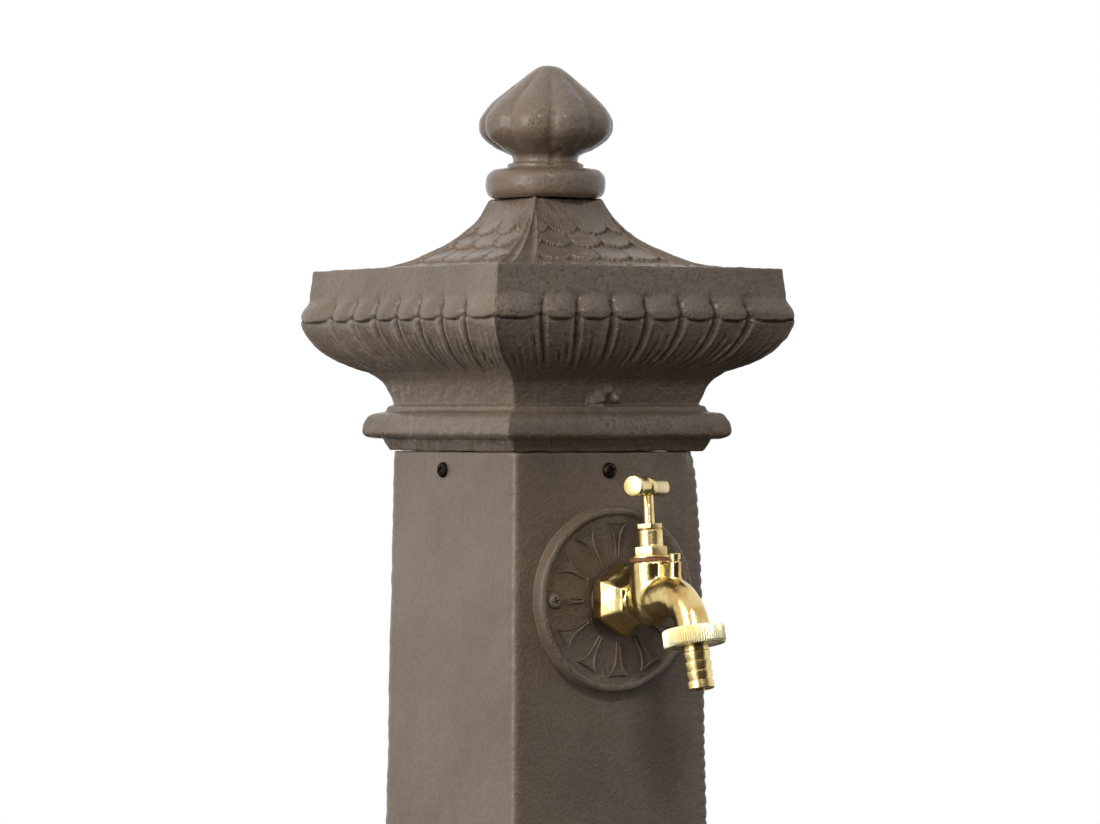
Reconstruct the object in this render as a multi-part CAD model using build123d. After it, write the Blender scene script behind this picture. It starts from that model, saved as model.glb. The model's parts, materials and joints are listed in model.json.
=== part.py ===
from build123d import *
import os
from math import atan, cos, degrees, radians, sin, tan

# Garden standpipe: a tapered square cast-iron post on a plinth, with a gadrooned cap and a bud
# finial, and a brass bib tap on its front. Millimetres, +Z up. The origin is the middle of the
# plinth's underside, and the tap is on the -Y face.

# Post: widths are half the distance across the square
shaft_foot = 96.0            # height of the plinth's top land, where the shaft stands
shaft_top = 788.7            # height of the shaft's top edge
shaft_top_half = 61.1
shaft_foot_half = 72.1
shaft_wall = 5.0
shaft_corner = 3.0           # rounding of the four upright corners
spigot_length = 25.0         # cap and plinth both reach this far inside the shaft
spigot_wall = 5.0
spigot_gap = 0.6

# Plinth
flange_half = 112.0
flange_thick = 12.0
anchor_edge = 14.0           # anchor holes' middles stand this far in from the flange's edges
anchor_radius = 6.0
die_half = 86.0
die_top = 58.0
plinth_wall = 7.0
plinth_ring_reach = 84.0
plinth_neck_half = 75.0
bridge_bottom = 34.0         # bar across the plinth that carries the supply fitting
bridge_thick = 8.0
bridge_width = 40.0

# Cap: heights are above the shaft's top edge
cap_height = 137.4
cap_neck_half = 60.4
cap_neck_height = 25.9
neck_ring_root = 65.2
neck_ring_reach = 73.2
neck_ring_low = 6.6
neck_ring_high = 21.2
cove_half = 70.7
cove_height = 42.8
ogee_half = 98.4             # widest line of the cap
ogee_height = 74.1
ogee_mid = (90.0, 54.6)
band_foot_half = 94.7
band_foot_height = 82.3
band_top_half = 93.0
band_top_height = 98.9
roof_foot_half = 70.0
roof_rise = 0.6
roof_mid = (38.1, 113.6)
roof_top_half = 22.4
cap_wall = 8.0
cap_crown = 11.0             # thickness under the finial

# Gadroons round the cap's ogee
gadroon_count = 6            # on each side, between the two corner leaves
gadroon_pitch = 22.4
gadroon_depth = 3.0
gadroon_radius = 21.0        # roundness across one lobe
corner_leaf_radius = 37.0    # roundness across a corner leaf, which fills what the lobes leave
gadroon_rise = 4.0           # how far the lobes run above the widest line
gadroon_sweep = 66.0         # degrees that each lobe follows the ogee inwards
gadroon_bead = 8.0

# Finial: heights are above the cap
foot_ring_radius = 32.8
foot_ring_low = 1.0
foot_ring_high = 17.4
foot_ring_inner = 28.0
collar_radius = 20.7
collar_height = 19.6
finial_neck_radius = 17.8
finial_neck_height = 24.4
bud_radius = 37.1
bud_height = 41.0            # of the bud's widest section
finial_height = 73.9
bud_lobes = 9
lobe_depth = 0.07            # share of the radius between lobe and groove
bud_lean = 2.0               # degrees; the bud sits a little askew on its neck
bud_lean_azimuth = -34.0
stud_radius = 4.0
stud_in_finial = 20.0
stud_length = 50.0
nut_height = 6.5
washer_thick = 1.6

# Screws in the iron
screw_radius = 2.0
screw_head_radius = 4.3
screw_head_height = 2.6
screw_length = 14.0
screw_drop = 10.0            # cap screws sit this far below the shaft's top edge
side_screw_offset = 8.0      # the ones in the side faces sit this far back of the middle
thread_gap = 0.05
head_gap = 0.05              # under a seated head

# Rosette behind the tap
inlet_drop = 79.1            # of the tap's inlet below the shaft's top edge
rosette_radius = 50.0
rosette_field = 6.0
rosette_rim = 8.0
rosette_rim_width = 5.0
rosette_hub_radius = 21.0
rosette_hub = 7.0
rib_count = 12
rib_inner = 22.0
rib_outer = 41.0
rib_flare = 9.0              # length of the widening head
rib_head = 12.0
rib_stem = 2.4
rib_height = 1.5
rosette_screw_circle = 40.4

# Tap: distances out are from the flange's back face, heights from the inlet axis
seal_thick = 0.6
inlet_radius = 10.4
inlet_length = 24.0
flange_corner = 20.0
flange_rim = 8.3
flange_cone = 6.5
waist_radius = 9.5
spindle_out = 32.0
spindle_lean = 4.1           # degrees towards the wall
chamber_radius = 11.0
chamber_top = 20.7
chamber_bore = 8.5
globe_radius = 10.8
globe_drop = 12.4
seat_height = 3.0
seat_bore = 4.0
port_radius = 3.2
port_drop = 4.2
spout_out = 36.0             # where the bend starts
spout_height = 11.7
spout_bend = 33.0
spout_radius = 8.9
spout_bore = 6.0
outlet_lean = 12.0           # degrees outwards
outlet_thread_radius = 13.2
outlet_thread_length = 4.5
outlet_shoulder = 1.2
plug_out = 49.0
plug_radius = 2.6
plug_seam = 21.0
plug_cap = 4.6

# Valve gear, along the spindle axis
gasket_thick = 1.6
gasket_radius = 11.3
bonnet_flange_radius = 10.6
bonnet_flange = 0.9
bonnet_hex = 17.0            # across the flats
bonnet_hex_height = 5.2
bonnet_chamfer = 1.0
bonnet_neck_radius = 6.9
bonnet_neck_height = 9.2
bonnet_thread = 8.0
stuffing_depth = 4.4
stuffing_radius = 5.0
guide_length = 3.0
gland_radius = 6.7
gland_height = 2.3
gland_skirt = 2.0
stem_radius = 3.0
spindle_thread_radius = 4.05
running_gap = 0.05
valve_disc_radius = 7.2
valve_disc = 2.0
valve_stem_radius = 2.0
valve_stem = 6.0
tap_washer_thick = 3.0
tap_washer_radius = 7.0
washer_nut_height = 1.8
washer_nut_radius = 3.1
washer_stud_radius = 1.5
spindle_pitch = 2.0
open_turns = 2.5

# T bar
bar_height = 60.4
bar_length = 35.0
bar_radius = 4.3
bar_button_radius = 5.4
bar_button_length = 4.0
bar_collar_radius = 5.35
bar_collar_width = 5.0
bar_angle = 29.0             # degrees from the left towards the front
bar_pin_radius = 1.0
stem_end = 3.5               # how far the stem runs past the middle of the bar

# Hose union, along the outlet axis
nut_radius = 16.5
nut_length = 9.3
nut_floor = 1.5
outlet_washer_thick = 1.5
outlet_washer_radius = 12.0
tail_flange = 1.6
tail_radius = 7.25
tail_neck_radius = 6.95
tail_bore = 5.0
tail_length = 24.6           # from flange face to tip
tail_land = 4.0
tail_groove = 0.5
union_pitch = 1.814
union_turns = 2.5            # turns that free the nut from its thread

# Supply inside the post
riser_radius = 7.5
riser_wall = 0.7
riser_setback = 24.0         # of the riser's axis behind the front face, at the inlet
elbow_plate = (64.0, 30.0, 4.0)
elbow_screw_half = 24.0
elbow_radius = 13.5
elbow_leg_radius = 11.5
elbow_leg = 30.0
elbow_socket = 15.0
elbow_stop = 3.0             # the tap's thread stops this far short of the riser's axis
elbow_passage = 8.2
supply_thread_radius = 10.4
supply_thread_length = 14.0
supply_groove = 1.5          # run-out groove above the thread
supply_groove_radius = 9.4
supply_collar_radius = 14.0
supply_collar = 5.0
supply_socket = 18.0
locknut_radius = 15.0
locknut_height = 6.0

# Worked out from the above
taper = (shaft_foot_half - shaft_top_half) / (shaft_top - shaft_foot)
face_angle = degrees(atan(taper))
cap_top = shaft_top + cap_height
inlet_height = shaft_top - inlet_drop
anchor_half = flange_half - anchor_edge
inlet_flange_out = rosette_hub + seal_thick
BASE = (Align.CENTER, Align.CENTER, Align.MIN)


def half_width(height):
    """Half the shaft's outside width at a height."""
    return shaft_top_half + (shaft_top - height) * taper


def front_face(height):
    """Place on the shaft's front face, with local -Y straight out of it."""
    return Pos(0, -half_width(height), height) * Rot(-face_angle, 0, 0)


def rod(radius, length, start=0.0):
    """Round bar along +Z."""
    return Pos(0, 0, start) * Cylinder(radius, length, align=BASE)


def ring(radius, bore, length, start=0.0):
    """Round tube along +Z."""
    return rod(radius, length, start) - rod(bore, length + 2, start - 1)


def hexagon(corner_radius, length, start=0.0):
    """Hexagonal bar along +Z."""
    return extrude(Pos(0, 0, start) * RegularPolygon(corner_radius, 6), length)


def outward(length_axis_solid):
    """Turn a solid built along +Z so that it runs along -Y."""
    return Rot(90, 0, 0) * length_axis_solid


def square_block(half, low, high):
    """Square bar between two heights."""
    return Pos(0, 0, low) * Box(2 * half, 2 * half, high - low, align=BASE)


def square_moulding(edges, reach):
    """Square-plan solid with mitred corners, from the edges of its right-hand outline."""
    foot = edges[0] @ 0
    top = edges[-1] @ 1
    middle = polygon_edges([(top.X, top.Y), (0, top.Y), (0, foot.Y), (foot.X, foot.Y)])
    half = make_face(edges + middle)
    across = extrude(Plane.XZ * (half + mirror(half, Plane.YZ)), reach, both=True)
    return across & (Rot(0, 0, 90) * across)


def polygon_edges(points):
    return [Line(a, b) for a, b in zip(points, points[1:])]


def revolved(points):
    """Solid of revolution about Z from (radius, height) corners."""
    return revolve(Plane.XZ * make_face(Polyline(*points, close=True)), Axis.Z)


def pan_screw(length):
    """Pan-head screw: head above Z = 0, shank below."""
    head = rod(screw_head_radius, screw_head_height, head_gap)
    head = fillet(head.edges().sort_by(Axis.Z)[-1], 0.7 * screw_head_height)
    return head + rod(screw_radius, length + 0.5, -length)


def face_screw_places(height):
    """Where the screws through the shaft's four faces sit at a height, heads outwards."""
    places = []
    for quarter, offset in enumerate((0, side_screw_offset, 0, -side_screw_offset)):
        places.append(Rot(0, 0, 90 * quarter) * front_face(height) * Pos(offset, 0, 0) * Rot(90, 0, 0))
    return places


# Post

cap_screw_places = face_screw_places(shaft_top - screw_drop)
base_screw_places = face_screw_places(shaft_foot + screw_drop)


def elbow_screw_places():
    """Screws through the elbow's plate into the front wall, heads inside."""
    plate_back = shaft_wall + elbow_plate[2]
    return [front_face(inlet_height) * Pos(x, plate_back, 0) * Rot(-90, 0, 0)
            for x in (-elbow_screw_half, elbow_screw_half)]


def rosette_screw_places():
    return [front_face(inlet_height) * Pos(x, -rosette_field, 0) * Rot(90, 0, 0)
            for x in (-rosette_screw_circle, rosette_screw_circle)]


def tapered_square(inset, corner):
    """The shaft's tapered form, set in all round, with rounded upright corners."""
    side = polygon_edges([(shaft_foot_half - inset, shaft_foot), (shaft_top_half - inset, shaft_top)])
    block = square_moulding(side, shaft_foot_half + 5)
    return fillet(block.edges().group_by(Axis.Z)[1], corner)


def column_shaft():
    body = tapered_square(0, shaft_corner) - tapered_square(shaft_wall, shaft_corner / 2)
    clearance = rod(screw_radius + 0.3, 2 * shaft_wall, -1.5 * shaft_wall)
    tapped = rod(screw_radius + thread_gap, 2 * shaft_wall, -1.5 * shaft_wall)
    body -= [place * clearance for place in cap_screw_places + base_screw_places]
    wall_middle = front_face(inlet_height) * Rot(90, 0, 0)
    body -= wall_middle * rod(inlet_radius + 0.6, 3 * shaft_wall, -2 * shaft_wall)
    for x in (-rosette_screw_circle, -elbow_screw_half, elbow_screw_half, rosette_screw_circle):
        body -= wall_middle * Pos(x, 0, 0) * tapped
    return body


def base_plinth():
    ring_low = die_top + 6
    ring_high = shaft_foot - 12
    edges = polygon_edges([(flange_half, 0), (flange_half, flange_thick - 3),
                           (flange_half - 4, flange_thick), (die_half, flange_thick),
                           (die_half, die_top)])
    edges.append(ThreePointArc((die_half, die_top), (die_half - 5.5, die_top + 1.5),
                               (plinth_neck_half + 2, ring_low)))
    edges.append(ThreePointArc((plinth_neck_half + 2, ring_low),
                               (plinth_ring_reach, (ring_low + ring_high) / 2),
                               (plinth_neck_half + 2, ring_high)))
    edges += polygon_edges([(plinth_neck_half + 2, ring_high), (plinth_neck_half, ring_high + 1),
                            (plinth_neck_half, shaft_foot)])
    body = square_moulding(edges, flange_half + 5)
    spigot_top = shaft_foot + spigot_length
    spigot_half = half_width(spigot_top) - shaft_wall - spigot_gap
    body += square_block(spigot_half, shaft_foot - 5, spigot_top)
    inside = spigot_half - spigot_wall
    cavity = polygon_edges([(die_half - plinth_wall, -1), (die_half - plinth_wall, die_top - plinth_wall),
                            (inside, die_top - 2), (inside, spigot_top + 1)])
    body -= square_moulding(cavity, flange_half)
    body += Pos(0, riser_y, bridge_bottom) * Box(
        2 * (die_half - plinth_wall) + 4, bridge_width, bridge_thick, align=BASE)
    body -= Pos(0, riser_y, 0) * rod(supply_thread_radius + 0.3, shaft_foot)
    body -= [Pos(x, y, 0) * rod(anchor_radius, 3 * flange_thick, -flange_thick)
             for x in (-anchor_half, anchor_half) for y in (-anchor_half, anchor_half)]
    body -= [place * rod(screw_radius + thread_gap, screw_length + 4, -screw_length - 2)
             for place in base_screw_places]
    return body


def cap_edges(recess):
    """Right-hand outline of the cap above its seat, with the ogee set back by the recess."""
    ogee_foot = (cove_half, cove_height)
    edges = [ThreePointArc((cap_neck_half + 2.3, 0), (cap_neck_half + 2.8, 3.5),
                           (neck_ring_root, neck_ring_low))]
    edges.append(ThreePointArc((neck_ring_root, neck_ring_low),
                               (neck_ring_reach, (neck_ring_low + neck_ring_high) / 2 - 1),
                               (neck_ring_root, neck_ring_high)))
    edges += polygon_edges([(neck_ring_root, neck_ring_high), (cap_neck_half, cap_neck_height)])
    edges.append(ThreePointArc((cap_neck_half, cap_neck_height),
                               (cap_neck_half + 2.6, (cap_neck_height + cove_height) / 2), ogee_foot))
    edges.append(ThreePointArc(ogee_foot, (ogee_mid[0] - 0.7 * recess, ogee_mid[1] + 0.7 * recess),
                               (ogee_half - recess, ogee_height)))
    edges += polygon_edges([(ogee_half - recess, ogee_height), (band_foot_half, band_foot_height),
                            (band_top_half, band_top_height), (roof_foot_half, band_top_height + roof_rise)])
    edges.append(ThreePointArc((roof_foot_half, band_top_height + roof_rise), roof_mid,
                               (roof_top_half, cap_height)))
    return edges


def ogee_strip(roundness):
    """One rounded strip of the front side, carried round the ogee's own arc."""
    arc = ThreePointArc((cove_half, cove_height), ogee_mid, (ogee_half, ogee_height))
    centre = arc.arc_center
    crown = arc.radius
    thickness = gadroon_depth + 2
    half = (roundness ** 2 - (roundness - thickness) ** 2) ** 0.5
    section = make_face([
        ThreePointArc((-half, crown - thickness), (0, crown), (half, crown - thickness)),
        Line((half, crown - thickness), (-half, crown - thickness)),
    ])
    top_angle = degrees(atan((ogee_height + gadroon_rise - centre.Y) / (ogee_half - centre.X)))
    start = Rot(180 - top_angle, 0, 0) * section
    return Pos(0, -centre.X, centre.Y) * revolve(start, Axis.X, revolution_arc=gadroon_sweep)


def gadroons():
    """Lobes and corner leaves of the front side."""
    lobe = ogee_strip(gadroon_radius)
    leaf = ogee_strip(corner_leaf_radius)
    bead = Pos(0, -(ogee_half - gadroon_bead - 0.6), ogee_height + gadroon_rise - 2) * Sphere(gadroon_bead)
    lobes_half = gadroon_count * gadroon_pitch / 2
    leaf_middle = (lobes_half + ogee_half) / 2
    pieces = [Pos(x, 0, 0) * leaf for x in (-leaf_middle, leaf_middle)]
    for index in range(gadroon_count):
        x = (index + 0.5) * gadroon_pitch - lobes_half
        pieces += [Pos(x, 0, 0) * lobe, Pos(x, 0, 0) * bead]
    return pieces


def cap_casting():
    body = square_moulding(cap_edges(gadroon_depth), ogee_half + 5)
    bounds = square_moulding(cap_edges(0), ogee_half + 5)
    side = Part() + gadroons()
    lobes = side & bounds
    body += [Rot(0, 0, 90 * quarter) * lobes for quarter in range(4)]
    spigot_half = shaft_top_half - shaft_wall - spigot_gap
    body += square_block(spigot_half, -spigot_length, 5)
    inside = spigot_half - spigot_wall
    widest = ogee_half - 2 * cap_wall + 1
    cavity = polygon_edges([
        (inside, -spigot_length - 1), (inside, cove_height - cap_wall),
        (widest, ogee_height - cap_wall), (widest, band_top_height - cap_wall),
        (roof_foot_half - cap_wall, band_top_height - cap_wall),
        (roof_mid[0] - cap_wall, roof_mid[1] - cap_wall),
        (roof_top_half - cap_wall, cap_height - cap_crown)])
    body -= square_moulding(cavity, ogee_half)
    body -= rod(stud_radius + 0.3, cap_height + 5)
    body = Pos(0, 0, shaft_top) * body
    body -= [place * rod(screw_radius + thread_gap, screw_length + 4, -screw_length - 2)
             for place in cap_screw_places]
    return body


def bud_section(radius, height, depth):
    """One level of the bud: a ring of shallow lobes with a groove at the right, pushed over by the lean."""
    step = 360 / (bud_lobes * 4)
    points = []
    for index in range(bud_lobes * 4):
        angle = radians(index * step)
        reach = radius * (1 - depth * (0.5 + 0.5 * cos(bud_lobes * angle)))
        points.append((reach * cos(angle), reach * sin(angle)))
    shift = tan(radians(bud_lean)) * (height - finial_neck_height)
    centre = (shift * cos(radians(bud_lean_azimuth)), shift * sin(radians(bud_lean_azimuth)), height)
    return Pos(*centre) * make_face(Spline(*points, periodic=True))


def finial():
    foot = [Line((0, foot_ring_low), (foot_ring_inner, foot_ring_low)),
            ThreePointArc((foot_ring_inner, foot_ring_low),
                          (foot_ring_radius, (foot_ring_low + foot_ring_high) / 2),
                          (foot_ring_inner, foot_ring_high))]
    foot += polygon_edges([(foot_ring_inner, foot_ring_high), (collar_radius, collar_height - 1.2),
                           (collar_radius, collar_height), (finial_neck_radius, collar_height + 0.8),
                           (finial_neck_radius, finial_neck_height + 1), (0, finial_neck_height + 1),
                           (0, foot_ring_low)])
    body = revolve(Plane.XZ * make_face(foot), Axis.Z)
    body += rod(foot_ring_inner - 3, foot_ring_low + 1)
    above = finial_height - bud_height
    below = bud_height - finial_neck_height
    levels = [(0.47, -below, 0.0), (0.72, -0.77 * below, 0.6), (0.9, -0.5 * below, 1.0), (1.0, 0, 1.0),
              (0.975, 0.16 * above, 1.0), (0.84, 0.36 * above, 1.0), (0.64, 0.555 * above, 1.0),
              (0.395, 0.78 * above, 0.8), (0.16, 0.955 * above, 0.3), (0.03, above, 0.0)]
    bud = loft([bud_section(share * bud_radius, bud_height + rise, lobe_depth * depth)
                for share, rise, depth in levels])
    body += bud
    body -= rod(stud_radius + thread_gap, stud_in_finial + 1, -1)
    return Pos(0, 0, cap_top) * body


def finial_stud():
    return Pos(0, 0, cap_top) * rod(stud_radius, stud_length, stud_in_finial - stud_length)


def finial_washer():
    washer = ring(3 * stud_radius, stud_radius + 0.2, washer_thick)
    return Pos(0, 0, cap_top - cap_crown - washer_thick) * washer


def finial_nut():
    blank = hexagon(1.85 * stud_radius, nut_height) - rod(stud_radius + thread_gap, nut_height + 2, -1)
    return Pos(0, 0, cap_top - cap_crown - washer_thick - nut_height) * blank


# Rosette

def rib(flared):
    """Flat outline of one raised rib, pointing up, drawn from the rosette's middle."""
    stem = rib_stem / 2
    if not flared:
        return Pos(0, (rib_inner + rib_outer - rib_flare) / 2) * Rectangle(
            rib_stem, rib_outer - rib_flare - rib_inner)
    root = rib_outer - rib_flare
    head = rib_head / 2
    return make_face([
        Line((-stem, rib_inner), (stem, rib_inner)), Line((stem, rib_inner), (stem, root)),
        ThreePointArc((stem, root), (stem + 1.1, root + 0.55 * rib_flare), (head, rib_outer)),
        ThreePointArc((head, rib_outer), (0, rib_outer - 1.4), (-head, rib_outer)),
        ThreePointArc((-head, rib_outer), (-stem - 1.1, root + 0.55 * rib_flare), (-stem, root)),
        Line((-stem, root), (-stem, rib_inner)),
    ])


def tap_rosette():
    rim_inner = rosette_radius - rosette_rim_width
    outline = polygon_edges([
        (0, 0), (rosette_radius, 0), (rosette_radius, rosette_rim - 2)])
    outline.append(ThreePointArc((rosette_radius, rosette_rim - 2),
                                 (rosette_radius - rosette_rim_width / 2, rosette_rim),
                                 (rim_inner, rosette_field)))
    outline += polygon_edges([(rim_inner, rosette_field), (rosette_hub_radius, rosette_field),
                              (rosette_hub_radius - 1, rosette_hub), (0, rosette_hub), (0, 0)])
    plate = revolve(Plane.XZ * make_face(outline), Axis.Z)
    for index in range(rib_count):
        flared = index % (rib_count // 2) != rib_count // 4
        raised = extrude(Pos(0, 0, rosette_field - 1) * rib(flared), rib_height + 1)
        plate += Rot(0, 0, 360 * index / rib_count) * raised
    plate -= rod(inlet_radius + 0.4, rosette_rim + 2, -1)
    plate -= [Pos(x, 0, 0) * rod(screw_radius + 0.2, rosette_rim + 2, -1)
              for x in (-rosette_screw_circle, rosette_screw_circle)]
    return front_face(inlet_height) * outward(plate)


# Tap: each piece is built in the tap's own frame, whose -Y runs out of the wall

tap_frame = front_face(inlet_height) * Pos(0, -inlet_flange_out, 0)
spindle_frame = Pos(0, -spindle_out, 0) * Rot(-spindle_lean, 0, 0)
bend_angle = 90 - outlet_lean
outlet_out = spout_out + spout_bend * sin(radians(bend_angle))
outlet_height = spout_height - spout_bend * (1 - cos(radians(bend_angle)))
outlet_frame = Pos(0, -outlet_out, outlet_height) * Rot(180 - outlet_lean, 0, 0)
gasket_top = chamber_top + gasket_thick
bonnet_hex_top = gasket_top + bonnet_flange + bonnet_hex_height
bonnet_top = bonnet_hex_top + bonnet_neck_height
seal_face = outlet_shoulder + outlet_thread_length
tail_face = seal_face + outlet_washer_thick
nut_start = tail_face + tail_flange + nut_floor - nut_length
valve_base = seat_height + tap_washer_thick
spindle_foot = valve_base + valve_disc + 0.1


def in_tap(solid):
    return tap_frame * solid


def on_spindle(solid):
    return tap_frame * spindle_frame * solid


def on_outlet(solid):
    return tap_frame * outlet_frame * solid


def spout_path():
    middle = radians(bend_angle / 2)
    return ThreePointArc(
        (0, -spout_out, spout_height),
        (0, -spout_out - spout_bend * sin(middle), spout_height - spout_bend * (1 - cos(middle))),
        (0, -outlet_out, outlet_height))


def spout_tube(radius):
    start = Plane(origin=(0, -spout_out, spout_height), z_dir=(0, -1, 0))
    return sweep(start * Circle(radius), spout_path())


def tap_body():
    flange = outward(extrude(Rot(0, 0, 30) * RegularPolygon(flange_corner, 6), flange_rim))
    front = outward(loft([Pos(0, 0, flange_rim) * Rot(0, 0, 30) * RegularPolygon(flange_corner - 0.6, 6),
                          Pos(0, 0, flange_rim + flange_cone) * Rot(0, 0, 30)
                          * RegularPolygon(waist_radius + 1.5, 6)]))
    body = flange + front
    body += outward(rod(inlet_radius, inlet_length, -inlet_length))
    body += outward(rod(waist_radius, spindle_out - flange_rim, flange_rim))
    globe = [Line((0, chamber_top), (chamber_radius, chamber_top)),
             Line((chamber_radius, chamber_top), (globe_radius, 0)),
             ThreePointArc((globe_radius, 0), (0.72 * globe_radius, -0.7 * globe_drop), (0, -globe_drop)),
             Line((0, -globe_drop), (0, chamber_top))]
    body += spindle_frame * revolve(Plane.XZ * make_face(globe), Axis.Z)
    body += spout_tube(spout_radius)
    body += Pos(0, -spout_out, spout_height) * Sphere(spout_radius)
    shoulder = Cone(spout_radius, outlet_thread_radius, outlet_shoulder, align=BASE)
    body += outlet_frame * (shoulder + rod(outlet_thread_radius, outlet_thread_length, outlet_shoulder))
    body += Pos(0, -plug_out, 0) * rod(plug_radius, plug_seam - spout_height + 8, spout_height - 8)
    body -= outward(rod(inlet_radius - 5, inlet_length + 20, -inlet_length))
    body -= Pos(0, 0, -port_drop) * outward(rod(port_radius, spindle_out - 18, 18))
    body -= spindle_frame * rod(seat_bore, seat_height + port_drop, -port_drop)
    body -= spindle_frame * rod(chamber_bore, chamber_top, seat_height)
    body -= spout_tube(spout_bore)
    body -= outlet_frame * rod(spout_bore, seal_face + 1, -0.01)
    body -= Pos(0, -plug_out, 0) * rod(plug_radius / 2, 3, plug_seam - 3)
    return in_tap(body)


def inlet_seal():
    return in_tap(outward(ring(flange_corner * 0.8, inlet_radius + 0.2, seal_thick, -seal_thick)))


def spout_plug():
    cap = chamfer(rod(plug_radius, plug_cap).edges().sort_by(Axis.Z)[-1], 0.5)
    return in_tap(Pos(0, -plug_out, plug_seam) * (cap + rod(plug_radius / 2 - thread_gap, 3, -2.9)))


def bonnet_gasket():
    return on_spindle(ring(gasket_radius, chamber_bore - 0.3, gasket_thick, chamber_top))


def bonnet():
    body = rod(bonnet_flange_radius, bonnet_flange, gasket_top)
    flat = bonnet_hex / 2
    corner = bonnet_hex / 3 ** 0.5
    crown = revolved([(0, gasket_top), (corner, gasket_top), (corner, bonnet_hex_top - bonnet_chamfer),
                      (flat, bonnet_hex_top), (0, bonnet_hex_top)])
    body += hexagon(corner, bonnet_hex_height, gasket_top + bonnet_flange) & crown
    body += rod(bonnet_neck_radius, bonnet_neck_height, bonnet_hex_top)
    body += rod(chamber_bore - 0.45, bonnet_thread, gasket_top - bonnet_thread)
    guide_foot = bonnet_top - stuffing_depth - guide_length
    body -= rod(spindle_thread_radius + running_gap, guide_foot + 1, -1)
    body -= rod(stem_radius + running_gap, bonnet_top + 1)
    body -= rod(stuffing_radius, stuffing_depth + 1, bonnet_top - stuffing_depth)
    return on_spindle(body)


def gland_packing():
    return on_spindle(ring(stuffing_radius - running_gap, stem_radius + running_gap,
                           stuffing_depth - gland_skirt, bonnet_top - stuffing_depth))


def gland_nut():
    head = hexagon(gland_radius * 1.12, gland_height, bonnet_top)
    head = head & rod(gland_radius * 1.03, gland_height, bonnet_top)
    skirt = rod(stuffing_radius - running_gap, gland_skirt, bonnet_top - gland_skirt)
    return on_spindle(head + skirt - rod(stem_radius + running_gap, bonnet_top + 10))


def spindle():
    thread_top = bonnet_top - stuffing_depth - guide_length - open_turns * spindle_pitch - 1
    body = rod(spindle_thread_radius, thread_top - spindle_foot, spindle_foot)
    body += rod(stem_radius, bar_height + stem_end - thread_top, thread_top)
    body -= rod(valve_stem_radius + running_gap, valve_stem + 1, spindle_foot - 0.5)
    body -= Pos(0, 0, bar_height) * Rot(0, 0, bar_angle) * Rot(90, 0, 0) * Cylinder(
        bar_pin_radius + thread_gap, 4 * stem_radius)
    return on_spindle(body)


def bar_place():
    """Middle of the T bar, with +Z along it towards its button end."""
    return Pos(0, 0, bar_height) * Rot(0, 0, bar_angle) * Rot(0, -90, 0)


def handle_bar():
    half = bar_length / 2
    collar = bar_collar_width / 2
    button = half - bar_button_length
    bar = revolved([(0, -half), (bar_radius - 0.6, -half), (bar_radius, -half + 0.8),
                    (bar_radius, -collar - 0.8), (bar_collar_radius, -collar),
                    (bar_collar_radius, collar), (bar_radius, collar + 0.8),
                    (bar_radius, button - 0.6), (bar_button_radius, button),
                    (bar_button_radius, half - 0.8), (bar_button_radius - 0.8, half), (0, half)])
    body = bar_place() * bar
    body -= rod(stem_radius + 0.03, 2 * bar_collar_radius, bar_height + stem_end - 2 * bar_collar_radius)
    body -= Pos(0, 0, bar_height) * Rot(0, 0, bar_angle) * Rot(90, 0, 0) * Cylinder(
        bar_pin_radius + thread_gap, 4 * bar_radius)
    return on_spindle(body)


def handle_pin():
    pin = Cylinder(bar_pin_radius, 2 * bar_collar_radius - 1.4)
    return on_spindle(Pos(0, 0, bar_height) * Rot(0, 0, bar_angle) * Rot(90, 0, 0) * pin)


def jumper_valve():
    body = rod(valve_disc_radius, valve_disc, valve_base)
    body += rod(valve_stem_radius, valve_stem, valve_base + valve_disc)
    body += rod(washer_stud_radius, tap_washer_thick + washer_nut_height, seat_height - washer_nut_height)
    return on_spindle(body)


def tap_washer():
    return on_spindle(ring(tap_washer_radius, washer_stud_radius + 0.05, tap_washer_thick, seat_height))


def washer_nut():
    blank = hexagon(washer_nut_radius, washer_nut_height, seat_height - washer_nut_height)
    return on_spindle(blank - rod(washer_stud_radius + thread_gap, 6, seat_height - 4))


def outlet_washer():
    return on_outlet(ring(outlet_washer_radius, spout_bore, outlet_washer_thick, seal_face))


def hose_tail():
    tip = tail_face + tail_length
    neck_end = nut_start + nut_length + 3
    groove_gap = (tip - neck_end - tail_land) / 3
    flange_end = tail_face + tail_flange
    points = [(0, tail_face), (outlet_washer_radius, tail_face), (outlet_washer_radius, flange_end),
              (tail_neck_radius, flange_end), (tail_neck_radius, neck_end)]
    for index in range(3):
        barb = neck_end + index * groove_gap
        points += [(tail_radius, barb + 0.4), (tail_neck_radius, barb + groove_gap - 0.8),
                   (tail_neck_radius - tail_groove / 2, barb + groove_gap)]
    points += [(tail_radius, tip - tail_land), (tail_radius, tip - 0.6), (tail_radius - 0.6, tip), (0, tip)]
    return on_outlet(revolved(points) - rod(tail_bore, tail_length + 2, tail_face - 1))


def union_nut():
    blank = rod(nut_radius, nut_length, nut_start)
    blank = chamfer(blank.edges().filter_by(GeomType.CIRCLE), 0.6)
    blank -= rod(outlet_thread_radius + running_gap, nut_length, nut_start - nut_floor)
    blank -= rod(tail_radius + 0.2, nut_length + 2, nut_start)
    return on_outlet(blank)


# Supply inside the post

riser_y = -half_width(inlet_height) + riser_setback
riser_top = inlet_height - elbow_leg + elbow_socket - 0.5
riser_foot = bridge_bottom + bridge_thick + supply_collar + 2


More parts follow.
